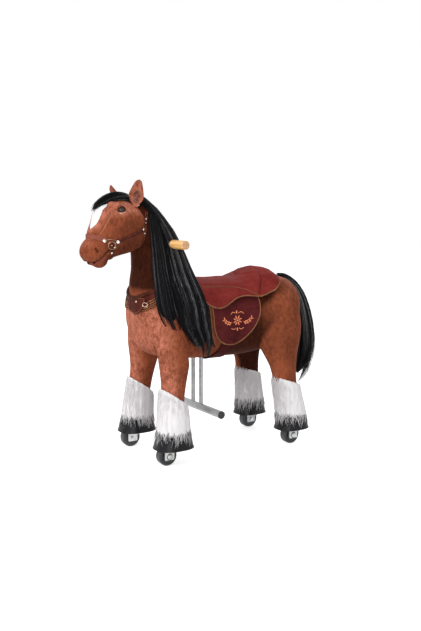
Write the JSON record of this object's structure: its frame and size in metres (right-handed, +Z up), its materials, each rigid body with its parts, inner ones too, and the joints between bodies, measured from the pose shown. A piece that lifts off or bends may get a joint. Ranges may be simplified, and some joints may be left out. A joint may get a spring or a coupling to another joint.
{
  "type": "ride-on bouncing horse",
  "caption": "Plush ride-on horse on a scissor frame: pumping the stirrup bar folds its legs, one-way wheels roll it forward and a dowel grip steers the front forks.",
  "frame": {"origin": "on the floor under the middle of the horse", "axes": "+Z up, the horse faces -Y, its left side is +X"},
  "size_m": [0.4116, 1.0319, 1.019],
  "materials": {
    "brown_plush": "short plush",
    "white_fur": "long fur",
    "black_hair": "straight hair",
    "burgundy_cloth": "suede cloth",
    "brown_leather": "smooth",
    "hoof_black": "glossy",
    "wheel_grey": "moulded",
    "bare_steel": "zinc plated",
    "grey_paint": "satin",
    "pale_wood": "varnished",
    "black_plastic": "moulded",
    "eye_glass": "polished"
  },
  "bodies": {
    "saddle_frame": {"saddle_frame": "grey_paint", "pivot_bolt": "bare_steel", "footrest_guide": "black_plastic", "barrel": "brown_plush", "seat_board": "pale_wood", "saddle_seat": "burgundy_cloth", "girth": "burgundy_cloth", "flap_left": "burgundy_cloth", "flap_right": "burgundy_cloth"},
    "footrest": {"footrest_bar": "grey_paint", "footrest_cap_left": "black_plastic", "footrest_cap_right": "black_plastic"},
    "front_frame": {"front_leg_frame": "grey_paint", "chest": "brown_plush", "breast_collar": "brown_leather", "collar_patch": "brown_leather", "leg_front_left": "brown_plush", "leg_front_right": "brown_plush", "fur_front_left": "white_fur", "fur_front_right": "white_fur", "hoof_front_left": "hoof_black", "hoof_front_right": "hoof_black"},
    "rear_frame": {"rear_leg_frame": "grey_paint", "rump": "brown_plush", "tail": "black_hair", "leg_rear_left": "brown_plush", "leg_rear_right": "brown_plush", "fur_rear_left": "white_fur", "fur_rear_right": "white_fur", "hoof_rear_left": "hoof_black", "hoof_rear_right": "hoof_black", "axle_rear_left": "bare_steel", "axle_rear_right": "bare_steel"},
    "steering": {"steering_column": "bare_steel", "handle_dowel": "pale_wood", "neck": "brown_plush", "head": "brown_plush", "forelock": "black_hair", "mane": "black_hair", "bridle": "brown_leather", "ear_left": "brown_plush", "ear_right": "brown_plush", "eye_left": "eye_glass", "eye_right": "eye_glass"},
    "fork_left": {"fork_left": "bare_steel", "axle_front_left": "bare_steel"},
    "fork_right": {"fork_right": "bare_steel", "axle_front_right": "bare_steel"},
    "tie_plate": {"tie_plate": "bare_steel"},
    "wheel_front_left": {"wheel_front_left": "wheel_grey"},
    "pawl_front_left": {"pawl_front_left": "bare_steel"},
    "wheel_front_right": {"wheel_front_right": "wheel_grey"},
    "pawl_front_right": {"pawl_front_right": "bare_steel"},
    "wheel_rear_left": {"wheel_rear_left": "wheel_grey"},
    "pawl_rear_left": {"pawl_rear_left": "bare_steel"},
    "wheel_rear_right": {"wheel_rear_right": "wheel_grey"},
    "pawl_rear_right": {"pawl_rear_right": "bare_steel"}
  },
  "joints": [
    {"name": "front_hinge", "type": "hinge", "parent": "saddle_frame", "child": "front_frame", "pos_m": [0, 0.018, 0.5], "axis": [1, 0, 0], "range_deg": [0, 7]},
    {"name": "rear_hinge", "type": "hinge", "parent": "saddle_frame", "child": "rear_frame", "pos_m": [0, 0.018, 0.5], "axis": [1, 0, 0], "range_deg": [-7, 0]},
    {"name": "footrest_slide", "type": "slide", "parent": "saddle_frame", "child": "footrest", "axis": [0, 0, 1], "range_m": [-0.0075, 0]},
    {"name": "steering_turn", "type": "hinge", "parent": "front_frame", "child": "steering", "pos_m": [0, -0.195, 0.655], "axis": [0, 0, 1], "range_deg": [-14, 14], "deforming": ["mane"]},
    {"name": "fork_left_turn", "type": "hinge", "parent": "front_frame", "child": "fork_left", "pos_m": [0.128, -0.234, 0.0922], "axis": [0, 0, 1], "range_deg": [-14, 14]},
    {"name": "fork_right_turn", "type": "hinge", "parent": "front_frame", "child": "fork_right", "pos_m": [-0.128, -0.234, 0.0922], "axis": [0, 0, 1], "range_deg": [-14, 14]},
    {"name": "tie_turn", "type": "hinge", "parent": "fork_left", "child": "tie_plate", "pos_m": [0.128, -0.206, 0.516], "axis": [0, 0, 1], "range_deg": [-14, 14]},
    {"name": "wheel_front_left_spin", "type": "hinge", "parent": "fork_left", "child": "wheel_front_left", "pos_m": [0.1445, -0.26, 0.036], "axis": [1, 0, 0], "continuous": true},
    {"name": "pawl_front_left_lift", "type": "hinge", "parent": "fork_left", "child": "pawl_front_left", "pos_m": [0.1625, -0.23534, 0.05289], "axis": [1, 0, 0], "range_deg": [-12, 0], "stiffness_Nm_per_rad": 0.01, "springref_deg": 20.05},
    {"name": "wheel_front_right_spin", "type": "hinge", "parent": "fork_right", "child": "wheel_front_right", "pos_m": [-0.1445, -0.26, 0.036], "axis": [1, 0, 0], "continuous": true},
    {"name": "pawl_front_right_lift", "type": "hinge", "parent": "fork_right", "child": "pawl_front_right", "pos_m": [-0.1625, -0.23534, 0.05289], "axis": [1, 0, 0], "range_deg": [-12, 0], "stiffness_Nm_per_rad": 0.01, "springref_deg": 20.05},
    {"name": "wheel_rear_left_spin", "type": "hinge", "parent": "rear_frame", "child": "wheel_rear_left", "pos_m": [0.1445, 0.297, 0.036], "axis": [1, 0, 0], "continuous": true},
    {"name": "pawl_rear_left_lift", "type": "hinge", "parent": "rear_frame", "child": "pawl_rear_left", "pos_m": [0.1625, 0.32166, 0.05289], "axis": [1, 0, 0], "range_deg": [-12, 0], "stiffness_Nm_per_rad": 0.01, "springref_deg": 20.05},
    {"name": "wheel_rear_right_spin", "type": "hinge", "parent": "rear_frame", "child": "wheel_rear_right", "pos_m": [-0.1445, 0.297, 0.036], "axis": [1, 0, 0], "continuous": true},
    {"name": "pawl_rear_right_lift", "type": "hinge", "parent": "rear_frame", "child": "pawl_rear_right", "pos_m": [-0.1625, 0.32166, 0.05289], "axis": [1, 0, 0], "range_deg": [-12, 0], "stiffness_Nm_per_rad": 0.01, "springref_deg": 20.05}
  ],
  "couplings": [
    {"joint": "rear_hinge", "follows": "front_hinge", "ratio": -1},
    {"joint": "footrest_slide", "follows": "front_hinge", "m_per_rad": -0.06},
    {"joint": "fork_left_turn", "follows": "steering_turn", "ratio": 1},
    {"joint": "fork_right_turn", "follows": "steering_turn", "ratio": 1},
    {"joint": "tie_turn", "follows": "steering_turn", "ratio": -1}
  ]
}
